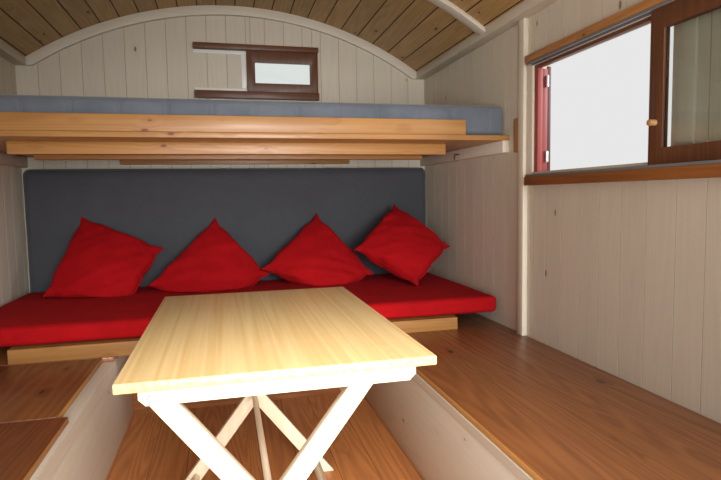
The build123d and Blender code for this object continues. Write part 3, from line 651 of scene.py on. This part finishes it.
@dataclass
class Shell:
    """Walls, floor, ceiling and roof, each made of its boards."""

    wall_board: float = 96 * MM
    ceiling_board: float = 94 * MM
    floor_board: float = 118 * MM
    ceiling_groove: float = 2.6 * MM
    wall_groove: float = 1.5 * MM
    floor_groove: float = 0.8 * MM
    screw_r: float = 4.0 * MM
    screw_h: float = 1.6 * MM
    screw_places: tuple[float, ...] = (-0.918, -0.845, 0.845, 0.918)
    screw_from_rib: float = 116 * MM
    roof_radius: float = 1760 * MM
    ceiling_t: float = 24 * MM
    ceiling_gap: float = 0.3 * MM
    covering_t: float = 8 * MM
    edge_slack: float = 0.002
    wave_pitch: float = 76 * MM
    wave_depth: float = 5.0 * MM
    wave_steps: int = 8
    arch_steps: int = 36
    sheet_t: float = 1.0 * MM
    sheet_gap: float = 0.8 * MM
    end_open_inset: float = 24 * MM
    bearer_ease: float = 3.0 * MM
    plate_ease: float = 2.5 * MM
    post_ease: float = 2.0 * MM

    def __post_init__(self) -> None:
        """Read the roof's centre line from the frame."""
        self.axis_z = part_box("roof_boards")[1].z - self.roof_radius - self.ceiling_t

    def roof_z(self, x: float) -> float:
        """Height of the ceiling's under face at x."""
        return self.axis_z + math.sqrt(self.roof_radius**2 - x**2)

    def trim_under_roof(self, bm: BMesh, verts: Iterable[BMVert], x0: float, x1: float) -> None:
        """Cut a board's top along the ceiling line between two places.

        Args:
            bm: The mesh.
            verts: The board's vertices.
            x0: The board's left edge.
            x1: The board's right edge.
        """
        z0, z1 = self.roof_z(x0), self.roof_z(x1)
        normal = Vector((-(z1 - z0), 0, x1 - x0)).normalized()
        edges = {e for v in verts for e in v.link_edges}
        faces = {f for v in verts for f in v.link_faces}
        geom = [*verts, *edges, *faces]
        cut = bmesh.ops.bisect_plane(bm, geom=geom, plane_co=(x0, 0, z0), plane_no=normal, clear_outer=True)
        rim = [g for g in cut["geom_cut"] if isinstance(g, BMEdge)]
        if rim:
            bmesh.ops.edgeloop_fill(bm, edges=rim)

    def wall(self, node: str, run: int, seed: float, hole: tuple[float, ...] | None = None) -> None:
        """Build a wall of upright boards.

        Args:
            node: The solid that it stands for.
            run: The axis that its boards follow each other along, 0 for X or 1 for Y.
            seed: The number that sets its boards' tones.
            hole: The window's start, stop, sill and head, if it has one.
        """
        low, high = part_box(node)
        bm = bmesh.new()
        cuts = hole[:2] if hole else ()
        for index, (start, stop) in enumerate(spans(low[run], high[run], self.wall_board, cuts)):
            tone = tone_of(index, seed)
            rows = [(low.z, high.z)]
            if hole and start >= hole[0] - MM and stop <= hole[1] + MM:
                rows = [(low.z, hole[2]), (hole[3], high.z)]
            for z0, z1 in rows:
                near, far = Vector((low.x, low.y, z0)), Vector((high.x, high.y, z1))
                near[run], far[run] = start, stop
                verts = add_board(bm, near, far, self.wall_groove, tone)
                if z1 == high.z:
                    self.trim_under_roof(bm, verts, near.x, far.x)
        add_piece(node + "_boards", mesh_of(bm), [made(WALL_SPRUCE, Grain.Z), made(WALL_JOINT)], node)

    def walls(self) -> None:
        """Build the three walls round their windows."""
        case_low, case_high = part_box("side_casing")
        self.wall("left_wall", 1, 3.0)
        self.wall("right_wall", 1, 3.0, (case_low.y, case_high.y, case_low.z, case_high.z))
        sash_low, sash_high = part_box("end_sash")
        inset = self.end_open_inset
        sill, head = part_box("end_window_sill")[1].z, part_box("end_window_head")[0].z
        self.wall("end_wall", 0, 7.0, (sash_low.x + inset, sash_high.x - inset, sill + inset, head - inset))

    def ceiling(self) -> None:
        """Build the barrel ceiling of long boards laid side by side on the ribs."""
        low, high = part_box("roof_boards")
        reach = math.asin(high.x / (self.roof_radius + self.ceiling_t)) - self.edge_slack
        count = round(2 * reach * self.roof_radius / self.ceiling_board)
        half = self.roof_radius * math.tan(reach / count)
        top = self.roof_radius + self.ceiling_t - self.ceiling_gap
        bm = bmesh.new()
        for index in range(count):
            near, far = (-half, low.y, self.roof_radius), (half, high.y, top)
            verts = add_board(bm, near, far, self.ceiling_groove, tone_of(index, 11.0))
            angle = -reach + (index + 0.5) * 2 * reach / count
            turn = Matrix.Translation((0, 0, self.axis_z)) @ Matrix.Rotation(angle, 4, "Y")
            bmesh.ops.transform(bm, matrix=turn, verts=verts)
        finish = [made(CEILING_SPRUCE, Grain.Y), made(DARK_JOINT)]
        add_piece("ceiling_boards", mesh_of(bm), finish, "roof_boards")

    def roof_sheet(self) -> None:
        """Build the sheet roof, its waves running over the arch."""
        low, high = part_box("roof_covering")
        outer = self.roof_radius + self.ceiling_t
        reach = math.asin(high.x / (outer + self.covering_t)) - self.edge_slack
        middle = outer + self.sheet_gap + self.wave_depth / 2
        waves = round((high.y - low.y) / self.wave_pitch)
        steps = waves * self.wave_steps
        bm = bmesh.new()
        for index in range(steps + 1):
            y = low.y + (high.y - low.y) * index / steps
            radius = middle + self.wave_depth / 2 * math.cos(2 * math.pi * waves * index / steps)
            bm.verts.new((radius * math.sin(-reach), y, self.axis_z + radius * math.cos(reach)))
        rim = bm.verts[:]
        line = [bm.edges.new(pair) for pair in zip(rim[:-1], rim[1:])]
        bmesh.ops.spin(
            bm, geom=rim + line, cent=(0, 0, self.axis_z), axis=(0, 1, 0), angle=2 * reach,
            steps=self.arch_steps, use_merge=False,
        )
        bmesh.ops.recalc_face_normals(bm, faces=bm.faces[:])
        bmesh.ops.solidify(bm, geom=bm.faces[:], thickness=self.sheet_t)
        add_piece("roof_sheet", mesh_of(bm), [made(ROOF_PAINT)], "roof_covering", smooth=SHADE_ANGLE)

    def floor(self) -> None:
        """Build the floor of long boards."""
        low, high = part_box("floor_deck")
        bm = bmesh.new()
        for index, (x0, x1) in enumerate(spans(low.x, high.x, self.floor_board)):
            add_board(bm, (x0, low.y, low.z), (x1, high.y, high.z), self.floor_groove, tone_of(index, 17.0))
        add_piece("floor_boards", mesh_of(bm), [made(FLOOR_BOARD, Grain.Y), made(FLOOR_JOINT)], "floor_deck")

    def ceiling_screws(self) -> None:
        """Set the row of screw heads into the ceiling boards beside the far rib."""
        row_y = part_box("roof_ribs")[1].y - self.screw_from_rib
        head = Matrix.Translation((0, 0, self.roof_radius - self.screw_h / 4))
        bm = bmesh.new()
        for x in self.screw_places:
            turn = Matrix.Rotation(math.asin(x / self.roof_radius), 4, "Y")
            place = Matrix.Translation((0, row_y, self.axis_z)) @ turn @ head
            bmesh.ops.create_cone(
                bm, cap_ends=True, segments=20, radius1=self.screw_r, radius2=self.screw_r,
                depth=self.screw_h, matrix=place,
            )
        add_piece("ceiling_screws", mesh_of(bm), [made(BLACK_STEEL)])

    def build(self) -> None:
        """Build the whole shell."""
        self.walls()
        self.ceiling()
        self.roof_sheet()
        self.floor()
        ease_node("floor_bearers", made(BEARER_WOOD, Grain.Y), self.bearer_ease)
        ease_node("wall_plates", made(TRIM_SPRUCE, Grain.Y), self.plate_ease)
        ease_node("roof_ribs", made(TRIM_SPRUCE, Grain.X), self.plate_ease)
        ease_node("end_arch", made(TRIM_SPRUCE, Grain.X), self.post_ease)
        ease_node("wall_posts", made(TRIM_SPRUCE, Grain.Z), self.post_ease)
        self.ceiling_screws()


@dataclass
class Windows:
    """The two sliding windows, their linings, and the red frame and shutter."""

    ease: float = 1.5 * MM
    lining_ease: float = 1.0 * MM
    track_ease: float = 0.4 * MM
    head_h: float = 10.15 * MM
    knob_reach: float = 19.5 * MM

    def build(self) -> None:
        """Dress both windows."""
        # The side window's head rail is drawn lighter than the sill: painted sunlight
        ease_node("side_window_head", made(SUNLIT_HEAD_LARCH, Grain.Y), self.ease)
        ease_node("side_window_sill", made(RAIL_LARCH, Grain.Y), self.ease)
        # The end window's rails take the dark sash larch: painted shade, as that wall stands in shadow
        ease_nodes(made(SASH_LARCH, Grain.X), self.ease, "end_window_head", "end_window_sill")
        self.side_sash()
        ease_node("end_sash", made(SASH_LARCH, Grain.Z), self.ease)
        ease_node("side_lining", made(TRIM_SPRUCE, Grain.Z), self.lining_ease)
        ease_node("end_lining", made(WHITE_STRIP), self.lining_ease)
        self.tracks()
        self.side_frame()
        # The shutter gets the darkened red: painted shade
        ease_node("side_shutter", made(SHADED_SHUTTER_BOARD, Grain.Z), self.ease)
        paint_nodes(made(WINDOW_GLASS), "side_sash_glass", "end_sash_glass")
        paint_nodes(made(ZINC), "side_shutter_hinges")

    def side_sash(self) -> None:
        """Dress the side sash, with its small turned knob in a paler wood."""
        sash = ease_node("side_sash", made(SASH_LARCH, Grain.Z), self.ease)
        knob_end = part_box("side_sash")[0].x + self.knob_reach
        tint_faces(sash, made(TURNED_KNOB), lambda middle, _: middle.x < knob_end)

    def tracks(self) -> None:
        """Dress the grey tracks; the down-facing edges of the upper one's lips are drawn pale."""
        tracks = ease_node("side_window_tracks", made(GREY_TRACK), self.track_ease)
        low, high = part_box("side_window_tracks")
        lip_end = min(v.co.z for v in tracks.data.vertices if v.co.z > (low.z + high.z) / 2)
        tint_faces(
            tracks, made(TRACK_LIP), lambda middle, way: way.z < FACES_DOWN and abs(middle.z - lip_end) < MM
        )

    def side_frame(self) -> None:
        """Dress the opening's frame: far stile red, near stile glazed, head oiled."""
        piece = ease_node("side_casing", made(RED_BOARD, Grain.Z), self.ease)
        low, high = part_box("side_casing")
        # Only the head member lies wholly in the top of the frame
        head_z = high.z - self.head_h
        half_y = (low.y + high.y) / 2
        tint_faces(piece, made(TRIM_SPRUCE, Grain.Z), lambda middle, _: middle.y < half_y)
        tint_faces(piece, made(SASH_LARCH, Grain.Y), lambda middle, _: middle.z > head_z)


@dataclass
class Joinery:
    """Bunk, benches, seat and table: the rigid wood and its small metal."""

    ease: float = 2.0 * MM
    top_ease: float = 2.5 * MM
    table_ease: float = 1.5 * MM
    rail_t: float = 3.0 * MM
    left_rail_h: float = 45.0 * MM
    right_rail_h: float = 24.0 * MM

    def build(self) -> None:
        """Dress all of it."""
        ease_nodes(made(BUNK_PINE, Grain.X), self.ease, "bunk_deck", "bunk_guard", "bunk_beams")
        # The seat's fascia and slats get the darker pine: painted shade from the bunk above
        ease_nodes(made(SHADED_SEAT_PINE, Grain.X), self.ease, "seat_fascia", "seat_deck")
        ease_node("bunk_ledgers", made(TRIM_SPRUCE, Grain.Y), self.ease)
        ease_node("bunk_stop", made(BUNK_PINE, Grain.Z), self.ease)
        ease_node("seat_front_panel", made(LARCH, Grain.X), self.ease)
        ease_nodes(made(WALL_SPRUCE, Grain.Y), self.ease, "left_bench_front", "right_bench_front")
        self.bench_tops()
        self.bench_rails()
        ease_node("table_top", made(TABLE_PINE, Grain.Y), self.top_ease)
        ease_node("table_battens", made(TABLE_LEG, Grain.X), self.table_ease)
        ease_nodes(made(TABLE_LEG, Grain.Z), self.table_ease, "table_outer_legs", "table_inner_legs")
        ease_nodes(made(TABLE_LEG, Grain.Y), self.table_ease, "table_outer_rail", "table_inner_rails")
        paint_nodes(made(TABLE_LEG, Grain.Y), "table_pivot_bar")
        paint_nodes(made(ZINC), "table_bolts", "table_bolt_plates", "far_lid_hinges", "near_lid_hinges")
        paint_nodes(made(BLACK_STEEL), "bunk_hook")

    def bench_tops(self) -> None:
        """Dress the bench tops and lids, with a painted highlight on the edge towards the aisle."""
        top, edge = made(LARCH, Grain.Y), made(LIT_EDGE_LARCH, Grain.Y)
        # Faces towards the aisle get the brighter larch: a painted highlight
        for node in ("left_bench_top", "left_lid_far", "left_lid_near"):
            tint_faces(ease_node(node, top, self.top_ease), edge, lambda _, way: way.x > FACES_AISLE)
        right = ease_node("right_bench_top", top, self.top_ease)
        tint_faces(right, edge, lambda _, way: way.x < -FACES_AISLE)

    def bench_rails(self) -> None:
        """Lay a plain glazed rail along the top of each bench front."""
        rail = made(TRIM_SPRUCE, Grain.Y)
        for side, height in (("left", self.left_rail_h), ("right", self.right_rail_h)):
            low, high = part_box(side + "_bench_front")
            faced = high.x if side == "left" else low.x - self.rail_t
            near, far = (faced, low.y, high.z - height), (faced + self.rail_t, high.y, high.z)
            bm = bmesh.new()
            add_board(bm, near, far, self.rail_t / 3, 0.5)
            add_piece(side + "_bench_rail", mesh_of(bm), [rail, rail])


def split_along(bm: BMesh, axis: int, cuts: int) -> None:
    """Divide every edge that runs along one axis.

    Args:
        bm: The mesh.
        axis: 0, 1 or 2 for X, Y or Z.
        cuts: How many cuts each edge gets.
    """
    run = []
    for edge in bm.edges:
        way = edge.verts[1].co - edge.verts[0].co
        if abs(way[axis]) > RUNS_ALONG * way.length:
            run.append(edge)
    bmesh.ops.subdivide_edges(bm, edges=run, cuts=cuts, use_grid_fill=True)


@dataclass(frozen=True)
class FoamPad:
    """A foam block in a sewn cover: rounded edges, a slight crown and soft hollows."""

    node: str
    name: str
    fabric: Cloth
    radius: float
    cell: tuple[float, float, float]
    crown: float
    wobble: float
    seed: float
    seam_pitch: float = 0.0
    seam_shift: float = 0.0
    seam_depth: float = 5.0 * MM
    seam_width: float = 9.0 * MM
    inset: float = 1.5 * MM
    fill: float = 0.9

    def shaped(self, point: Vector, half: Vector) -> Vector:
        """Round, crown and seam one point of the block.

        Args:
            point: The point, from the block's middle.
            half: Half the block's size.

        Returns:
            The point's new place.
        """
        core = Vector([max(-h + self.radius, min(h - self.radius, p)) for p, h in zip(point, half)])
        out = point - core
        if out.length > 1e-9:
            out.normalize()
        moved = core + out * self.radius
        share = [max(0.0, 1 - (moved[i] / half[i]) ** 4) for i in range(3)]
        hollow = noise.fractal(moved * 5.0 + Vector((self.seed, 0, 0)), 0.6, 2.1, 3)
        for axis in range(3):
            others = [share[i] for i in range(3) if i != axis]
            swell = self.crown * others[0] * others[1] + self.wobble * hollow * min(others)
            moved[axis] += out[axis] * (swell - self.crown)
        if self.seam_pitch:
            turns = (moved.x - self.seam_shift) / self.seam_pitch
            nearest = turns - round(turns)
            dip = math.exp(-((nearest * self.seam_pitch / self.seam_width) ** 2))
            moved.y -= self.seam_depth * dip * out.y
        return moved

    def build(self) -> None:
        """Build the pad."""
        low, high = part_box(self.node)
        centre = (low + high) / 2
        half = (high - low) / 2 - Vector((self.inset,) * 3)
        bm = bmesh.new()
        bmesh.ops.create_cube(bm, size=2.0, matrix=Matrix.Diagonal((*half, 1.0)))
        for axis in range(3):
            split_along(bm, axis, max(3, round(2 * half[axis] / self.cell[axis])))
        for vert in bm.verts:
            vert.co = self.shaped(vert.co.copy(), half) + centre
        bmesh.ops.recalc_face_normals(bm, faces=bm.faces[:])
        piece = add_piece(self.name, mesh_of(bm), [made(self.fabric)], self.node, smooth=ALL_SMOOTH)


def add_piping(name: str, points: Sequence[Vector], radius: float, fabric: Cloth) -> None:
    """Sew a closed round cord along a cover's seam.

    Args:
        name: The piece's name.
        points: The closed line that it follows.
        radius: The cord's radius.
        fabric: Its finish.
    """
    curve = bpy.data.curves.new(name + "_line", "CURVE")
    curve.dimensions = "3D"
    curve.bevel_depth = radius
    curve.bevel_resolution = 2
    spline = curve.splines.new("POLY")
    spline.points.add(len(points) - 1)
    for target, point in zip(spline.points, points):
        target.co = (*point, 1.0)
    spline.use_cyclic_u = True
    line = bpy.data.objects.new(name + "_line", curve)
    mesh = bpy.data.meshes.new_from_object(line)
    bpy.data.objects.remove(line)
    add_piece(name, mesh, [made(fabric)], smooth=ALL_SMOOTH)


@dataclass(frozen=True)
class Throw:
    """How one loose cushion was thrown.

    Lean and turn are in degrees, sink and forward in millimetres: how far it is
    pressed into the pad, and how far it stands off the backrest. The pulls shift
    its corners in its own plane, in millimetres, from lower left round to upper left.
    """

    node: str
    lean: float
    turn: float
    sink: float
    forward: float
    pulls: tuple[tuple[float, float], ...]


@dataclass
class ScatterCushions:
    """Four loose square cushions, each two panels sewn together and stuffed."""

    side: float = 400 * MM
    thickness: float = 132 * MM
    blank_rise: float = 118 * MM
    seam_t: float = 8 * MM
    cells: int = 40
    stuffing_frames: int = 20
    piping_r: float = 2.6 * MM
    rest_gap: float = 0.5 * MM
    ear: float = 0.06
    ear_from: float = 0.74
    ear_width: float = 0.16
    broad_fold: float = 7 * MM
    fine_fold: float = 2.5 * MM
    fold_fade: float = 20 * MM
    fill: float = 0.8
    fabric: tuple[tuple[str, float], ...] = (
        ("quality", 7), ("mass", 0.3), ("uniform_pressure_force", 5.0), ("tension_stiffness", 70),
        ("compression_stiffness", 70), ("shear_stiffness", 30), ("bending_stiffness", 0.4),
    )
    throws: tuple[Throw, ...] = (
        Throw("cushion_1", 40.0, 18.0, 66.0, 0.0, ((30, -20), (-9, 10), (25, -42), (0, 36))),
        Throw("cushion_2", 37.0, 45.0, 147.0, 0.0, ((45, -48), (0, 0), (20, -30), (0, 34))),
        Throw("cushion_3", 39.0, 45.0, 107.0, 0.0, ((-4, -70), (-30, 20), (24, -118), (-20, -16))),
        Throw("cushion_4", 46.0, 44.0, 32.0, 118.0, ((5, 10), (-42, 20), (-38, -50), (-10, 18))),
    )

    def shares(self, point: Vector) -> tuple[float, float]:
        """Give a cover point's place across and up, from -1 to 1."""
        return point.x / self.side * 2, point.y / self.side * 2

    def sewn_blank(self) -> Object:
        """Make the loosely filled cover, seamed at its rim.

        Returns:
            The cover as an object.
        """
        bm = bmesh.new()
        cells = self.cells
        bmesh.ops.create_grid(bm, x_segments=cells, y_segments=cells, size=self.side / 2, calc_uvs=False)
        grown = bmesh.ops.extrude_face_region(bm, geom=bm.faces[:])["geom"]
        upper = {g for g in grown if isinstance(g, BMVert)}
        layout = bm.loops.layers.uv.new("weave")
        for face in bm.faces:
            for corner in face.loops:
                corner[layout].uv = corner.vert.co.xy
        for vert in bm.verts:
            u, v = self.shares(vert.co)
            puff = max(0.0, (1 - u * u) * (1 - v * v)) ** 0.5
            rise = self.seam_t / 2 + (self.blank_rise - self.seam_t) / 2 * puff
            vert.co.z = rise if vert in upper else -rise
        bmesh.ops.recalc_face_normals(bm, faces=bm.faces[:])
        return link_new("cushion_blank", mesh_of(bm, "cushion_blank"))

    def cover(self) -> Mesh:
        """Blow the cover up by simulated stuffing.

        Returns:
            Its mesh.
        """
        blank = self.sewn_blank()
        cloth = blank.modifiers.new("stuffing", "CLOTH")
        for setting, value in self.fabric:
            setattr(cloth.settings, setting, value)
        cloth.settings.use_pressure = True
        cloth.settings.effector_weights.gravity = 0
        cloth.point_cache.frame_start = 1
        cloth.point_cache.frame_end = self.stuffing_frames
        for step in range(1, self.stuffing_frames + 1):
            bpy.context.scene.frame_set(step)
        graph = bpy.context.evaluated_depsgraph_get()
        mesh = bpy.data.meshes.new_from_object(blank.evaluated_get(graph))
        bpy.data.objects.remove(blank)
        bpy.context.scene.frame_set(1)
        places = list(zip(*(vert.co for vert in mesh.vertices)))
        wide, tall, thick = (max(row) - min(row) for row in places)
        log.info("stuffed cover %.3f by %.3f by %.3f m", wide, tall, thick)
        mesh.transform(Matrix.Diagonal((self.side / wide, self.side / tall, self.thickness / thick, 1)))
        return mesh

    def seam_line(self) -> list[int]:
        """List the lower panel's rim.

        Returns:
            The numbers of its vertices in order.
        """
        row = self.cells + 1
        last = row * row - 1
        bottom, right = range(row - 1), range(row - 1, last, row)
        top, left = range(last, last - row + 1, -1), range(last - row + 1, 0, -row)
        return [*bottom, *right, *top, *left]

    def placed(self, throw: Throw) -> Matrix:
        """Work out where one cushion's middle and axes lie.

        Args:
            throw: How it was thrown.

        Returns:
            The matrix that puts the cover there.
        """
        low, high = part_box(throw.node)
        tilt, turn = math.radians(throw.lean), math.radians(throw.turn)
        reach = self.side / 2 * (math.cos(turn) + math.sin(turn))
        against_wall = high.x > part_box("right_wall")[0].x - MM
        x = low.x + reach if against_wall else (low.x + high.x) / 2
        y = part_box("backrest_pad")[0].y - reach * math.sin(tilt) - throw.forward * MM
        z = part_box("seat_pad")[1].z + reach * math.cos(tilt) - throw.sink * MM
        stood = Matrix.Rotation(turn, 4, "Y") @ Matrix.Rotation(math.radians(90), 4, "X")
        return Matrix.Translation((x, y, z)) @ Matrix.Rotation(-tilt, 4, "X") @ stood

    def pulled(self, point: Vector, throw: Throw) -> Vector:
        """Shift a point of the cover with its four corners.

        The rim is drawn in just short of each corner, where a tight seam leaves
        a small pointed ear.

        Args:
            point: The point, in the cover's own plane.
            throw: How the cushion was thrown.

        Returns:
            The point's new place in that plane.
        """
        u, v = self.shares(point)
        neck_u, neck_v = (math.exp(-(((abs(part) - self.ear_from) / self.ear_width) ** 2)) for part in (u, v))
        drawn_x = point.x * (1 - self.ear * neck_v * u * u)
        drawn_y = point.y * (1 - self.ear * neck_u * v * v)
        moved = Vector((drawn_x, drawn_y, point.z))
        corners = ((1 - u) * (1 - v) / 4, (1 + u) * (1 - v) / 4, (1 + u) * (1 + v) / 4, (1 - u) * (1 + v) / 4)
        for share, (across, up) in zip(corners, throw.pulls):
            moved = moved + Vector((across, up, 0)) * MM * share
        return moved

    def crease(self, point: Vector, seed: float) -> float:
        """Give the height of the soft folds at a point of the cover.

        Args:
            point: The point.
            seed: The number that sets this cushion's folds.

        Returns:
            The height.
        """
        u, v = self.shares(point)
        broad = noise.noise(Vector(((u + v) * 1.1, (u - v) * 3.4, seed * 5.3))) * self.broad_fold
        fine = noise.noise(Vector(((u - v) * 2.2, (u + v) * 7.5, seed * 2.9))) * self.fine_fold
        return (broad + fine) * min(1.0, abs(point.z) / self.fold_fade)

    def rests(self) -> tuple[Vector, Vector]:
        """Find the box that the pad, the backrest and the walls leave free.

        Returns:
            Its lowest and its highest corner.
        """
        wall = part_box("right_wall")[0].x - self.rest_gap
        pad_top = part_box("seat_pad")[1].z + self.rest_gap
        back_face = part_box("backrest_pad")[0].y - self.rest_gap
        return Vector((-wall, -math.inf, pad_top)), Vector((wall, back_face, math.inf))

    def build(self) -> None:
        """Place the four cushions against the backrest."""
        mesh = self.cover()
        rim = self.seam_line()
        panel = (self.cells + 1) ** 2
        least, most = self.rests()
        for number, throw in enumerate(self.throws, start=1):
            place = self.placed(throw)
            bm = bmesh.new()
            bm.from_mesh(mesh)
            for vert in bm.verts:
                vert.co.z += self.crease(vert.co, number)
                free = place @ self.pulled(vert.co, throw)
                vert.co = [max(a, min(b, part)) for part, a, b in zip(free, least, most)]
            bm.verts.ensure_lookup_table()
            line = [(bm.verts[i].co + bm.verts[i + panel].co) / 2 for i in rim]
            name = "stuffed_" + throw.node
            piece = add_piece(name, mesh_of(bm), [made(RED_CLOTH, "UV")], throw.node, smooth=ALL_SMOOTH)
            finer = piece.modifiers.new("smooth", "SUBSURF")
            finer.levels = finer.render_levels = 1
            add_piping("piping_" + throw.node, line, self.piping_r, RED_PIPING)


@dataclass
class SoftGoods:
    """Mattress, seat pad, backrest and cushions."""

    piping_r: float = 4.0 * MM
    piping_inset: float = 5.0 * MM
    piping_back: float = 14.0 * MM
    piping_corner: float = 26.0 * MM
    pads: tuple[FoamPad, ...] = (
        FoamPad(
            "bunk_mattress", "mattress", MATTRESS_CLOTH, radius=26 * MM, cell=(9 * MM, 30 * MM, 12 * MM),
            crown=3 * MM, wobble=3 * MM, seed=2.0, seam_pitch=152 * MM, seam_shift=33 * MM,
        ),
        FoamPad(
            "seat_pad", "seat_cushion", RED_CLOTH, radius=22 * MM, cell=(16 * MM, 16 * MM, 8 * MM),
            crown=4 * MM, wobble=4 * MM, seed=5.0,
        ),
        FoamPad(
            "backrest_pad", "backrest_cushion", GREY_CLOTH, radius=24 * MM, cell=(16 * MM, 10 * MM, 16 * MM),
            crown=5 * MM, wobble=4 * MM, seed=9.0,
        ),
    )

    def backrest_seam(self) -> list[Vector]:
        """Draw the rounded seam line round the backrest's front.

        Returns:
            Its points in order.
        """
        low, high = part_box("backrest_pad")
        radius, level = self.piping_corner, low.y + self.piping_back
        reach = self.piping_inset + radius
        left, right, bottom, top = low.x + reach, high.x - reach, low.z + reach, high.z - reach
        points = []
        for quarter, (x, z) in enumerate(((right, top), (left, top), (left, bottom), (right, bottom))):
            for step in range(7):
                turn = math.radians(90 * quarter + 15 * step)
                points.append(Vector((x + radius * math.cos(turn), level, z + radius * math.sin(turn))))
        return points

    def build(self) -> None:
        """Build every soft piece."""
        for pad in self.pads:
            pad.build()
        add_piping("backrest_piping", self.backrest_seam(), self.piping_r, GREY_PIPING)
        ScatterCushions().build()


@dataclass(frozen=True)
class Lamp:
    """A soft square lamp: its place, aim and side in metres, watts, and its beam in degrees."""

    name: str
    place: tuple[float, float, float]
    aim: tuple[float, float, float]
    side: float
    watts: float
    beam: float

    def build(self) -> None:
        """Hang the lamp and point it."""
        data = bpy.data.lights.new(self.name, "AREA")
        data.size = self.side
        data.energy = self.watts
        data.spread = math.radians(self.beam)
        way = (Vector(self.aim) - Vector(self.place)).to_track_quat("-Z", "Y")
        link_new(self.name, data).matrix_world = Matrix.Translation(self.place) @ way.to_matrix().to_4x4()


@dataclass
class Studio:
    """Pale floor, soft light, and the camera at the photo's angle."""

    eye_x: float = -90 * MM
    eye_from_end: float = 2980 * MM
    eye_over_floor: float = 880 * MM
    yaw: float = 13.7814
    pitch: float = 4.5211
    roll: float = 0.98603
    focal_px: float = 553.45
    floor_colour: str = "e8e6e2"
    floor_size: float = 14.0
    sky: float = 0.8
    lamps: tuple[Lamp, ...] = (
        Lamp("front_lamp", (0.4, -3.3, 1.0), (0.12, -0.4, 0.5), side=1.1, watts=13.0, beam=50.0),
        Lamp("floor_lamp", (0.1, -2.1, 1.5), (0.1, -0.4, 0.3), side=0.6, watts=3.5, beam=50.0),
        Lamp("fill_lamp", (-0.6, -3.0, 0.8), (0.75, -0.1, 1.7), side=0.9, watts=4.0, beam=50.0),
        Lamp("window_lamp", (2.4, -0.5, 1.7), (-0.3, 0.2, 0.9), side=1.0, watts=12.0, beam=90.0),
    )

    def camera(self) -> None:
        """Set the camera."""
        data = bpy.data.cameras.new("camera")
        data.sensor_fit = "HORIZONTAL"
        data.sensor_width = 36.0
        data.lens = self.focal_px / PHOTO_WIDTH * data.sensor_width
        data.clip_start = 0.01
        turn = (
            Matrix.Rotation(math.radians(-self.yaw), 4, "Z")
            @ Matrix.Rotation(math.radians(90 - self.pitch), 4, "X")
            @ Matrix.Rotation(math.radians(-self.roll), 4, "Z")
        )
        end_y, floor_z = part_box("end_wall")[0].y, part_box("floor_deck")[1].z
        eye = (self.eye_x, end_y - self.eye_from_end, floor_z + self.eye_over_floor)
        camera = link_new("camera", data)
        camera.matrix_world = Matrix.Translation(eye) @ turn
        bpy.context.scene.camera = camera

    def floor(self) -> None:
        """Lay the studio's floor."""
        bm = bmesh.new()
        bmesh.ops.create_grid(bm, x_segments=1, y_segments=1, size=self.floor_size / 2)
        floor = link_new("studio_floor", mesh_of(bm, "studio_floor"))
        material, _, shader = start_material("studio_floor")
        set_inputs(shader, {"Base Color": linear(self.floor_colour), "Roughness": 0.9})
        floor.data.materials.append(material)

    def build(self) -> None:
        """Build camera, floor, lamps and sky."""
        self.camera()
        self.floor()
        for lamp in self.lamps:
            lamp.build()
        world = bpy.data.worlds.new("studio")
        world.use_nodes = True
        set_inputs(world.node_tree.nodes["Background"], {"Color": linear("ffffff"), "Strength": self.sky})
        bpy.context.scene.world = world
        bpy.context.scene.view_settings.view_transform = "Standard"


def main() -> None:
    """Build the scene in order."""
    logging.basicConfig(level=logging.INFO, format="%(name)s %(message)s")
    for part in (Studio(), Shell(), Windows(), Joinery(), SoftGoods()):
        part.build()
        log.info("%s done", type(part).__name__)


if __name__ == "__main__":
    main()
